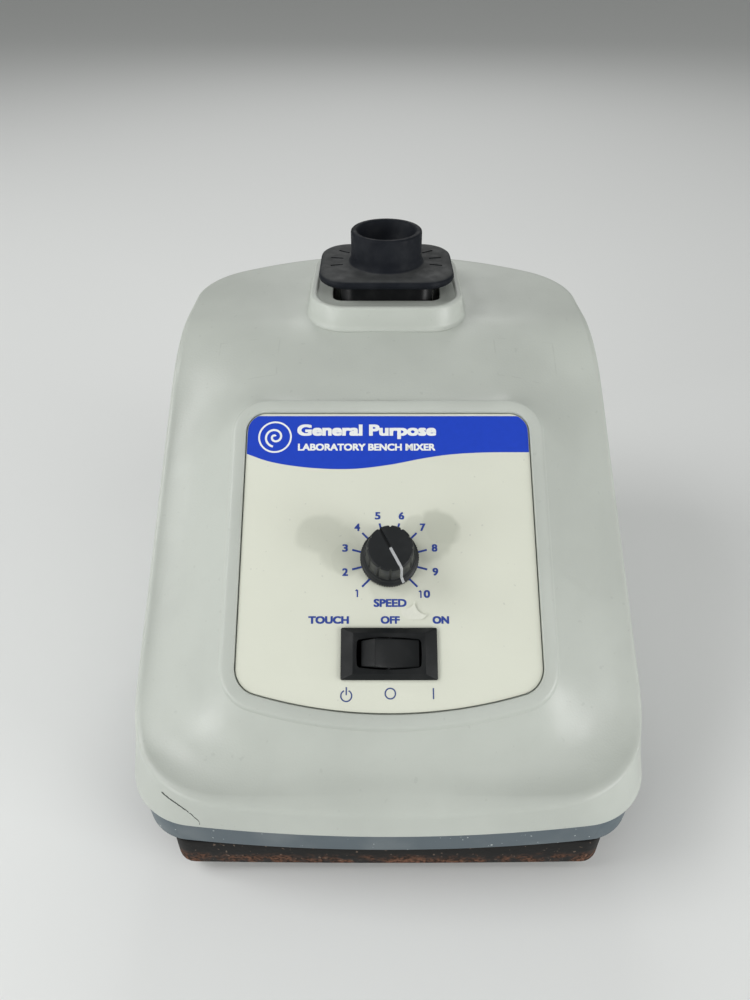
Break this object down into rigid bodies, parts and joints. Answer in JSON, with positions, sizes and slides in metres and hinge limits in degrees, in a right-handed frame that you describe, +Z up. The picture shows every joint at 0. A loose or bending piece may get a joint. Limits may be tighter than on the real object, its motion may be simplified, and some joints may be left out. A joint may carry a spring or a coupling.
{
  "type": "vortex mixer",
  "caption": "Bench vortex mixer with a sloped control panel, speed knob, three-way rocker switch and a rubber cup head on an eccentric drive.",
  "frame": {"origin": "centre of the footprint, on the surface that the rubber feet stand on", "axes": "+X to the user's right, -Y out of the front, +Y to the back, +Z up"},
  "size_m": [0.172, 0.2228, 0.1653],
  "materials": {
    "cover_plastic": "fine moulded texture, satin",
    "base_plastic": "moulded, satin",
    "weight_plate": "black paint, rusted along its lower edge",
    "panel_overlay": "printed overlay, satin",
    "black_plastic": "moulded, satin",
    "switch_plastic": "semi-gloss",
    "black_rubber": "matt",
    "steel": "plain machined",
    "laminated_steel": "varnished laminations",
    "copper_wire": "enamelled copper, lacquered",
    "brass": "plain",
    "board_green": "solder mask",
    "white_nylon": "moulded",
    "capacitor_case": "dipped"
  },
  "bodies": {
    "root": {"upper_cover": "cover_plastic", "base_housing": "base_plastic", "base_weight_plate": "weight_plate", "control_panel": "panel_overlay", "power_inlet": "black_plastic", "touch_switch": "black_plastic", "switch_housing": "switch_plastic", "anti_rotation_boot": "black_rubber", "foot_front_left": "black_rubber", "foot_front_right": "black_rubber", "foot_rear_left": "black_rubber", "foot_rear_right": "black_rubber", "motor_mount_front_left": "black_rubber", "motor_mount_front_right": "black_rubber", "motor_mount_rear_left": "black_rubber", "motor_mount_rear_right": "black_rubber", "cover_screw_front_left": "steel", "cover_screw_front_right": "steel", "cover_screw_rear_left": "steel", "cover_screw_rear_right": "steel", "motor_bolt_front_left": "steel", "motor_bolt_front_right": "steel", "motor_bolt_rear_left": "steel", "motor_bolt_rear_right": "steel", "potentiometer_nut": "steel", "switch_pivot_pin": "steel", "upper_bracket": "steel", "lower_bracket": "steel", "touch_spring": "steel", "stator_core": "laminated_steel", "potentiometer_body": "laminated_steel", "triac_heatsink": "laminated_steel", "stator_winding": "copper_wire", "choke_coil": "copper_wire", "upper_bearing": "brass", "lower_bearing": "brass", "switch_terminal_1": "brass", "switch_terminal_2": "brass", "switch_terminal_3": "brass", "inlet_pin_neutral": "brass", "inlet_pin_earth": "brass", "inlet_pin_line": "brass", "circuit_board": "board_green", "terminal_block": "board_green", "plunger_guide": "white_nylon", "fuse": "white_nylon", "film_capacitor": "capacitor_case"},
    "touch_plunger": {"thrust_plunger": "white_nylon"},
    "drive": {"eccentric_cam": "steel", "counterweight": "brass", "motor_shaft": "steel", "rotor_core": "laminated_steel", "cooling_fan": "white_nylon"},
    "head": {"cup_head": "black_rubber", "head_carrier": "black_plastic", "head_bearing": "steel"},
    "touch_lever": {"touch_switch_lever": "steel"},
    "speed_control": {"speed_knob": "black_plastic", "potentiometer_shaft": "brass"},
    "rocker": {"switch_rocker": "switch_plastic"}
  },
  "joints": [
    {"name": "touch_press", "type": "slide", "parent": "root", "child": "touch_plunger", "axis": [0, 0, -1], "range_m": [0, 0.0015], "stiffness_N_per_m": 4000, "springref_m": -0.003, "deforming": ["touch_spring", "anti_rotation_boot"]},
    {"name": "drive_spin", "type": "hinge", "parent": "touch_plunger", "child": "drive", "pos_m": [0, 0.0675, 0.1], "axis": [0, 0, 1], "continuous": true},
    {"name": "head_orbit", "type": "hinge", "parent": "drive", "child": "head", "pos_m": [0, 0.06505, 0.13], "axis": [0, 0, 1], "continuous": true},
    {"name": "lever_tilt", "type": "hinge", "parent": "root", "child": "touch_lever", "pos_m": [0.025, 0.0675, 0.0325], "axis": [0, -1, 0], "range_deg": [0, 6.2]},
    {"name": "speed_turn", "type": "hinge", "parent": "root", "child": "speed_control", "pos_m": [0.0003, -0.04691, 0.09345], "axis": [0, -0.5807, 0.8141], "range_deg": [0, 300]},
    {"name": "rocker_tilt", "type": "hinge", "parent": "root", "child": "rocker", "pos_m": [0, -0.06873, 0.07039], "axis": [0, 0.8141, 0.5807], "range_deg": [-30, 0]}
  ],
  "couplings": [
    {"joint": "head_orbit", "follows": "drive_spin", "ratio": -1},
    {"joint": "lever_tilt", "follows": "touch_press", "rad_per_m": 69}
  ]
}
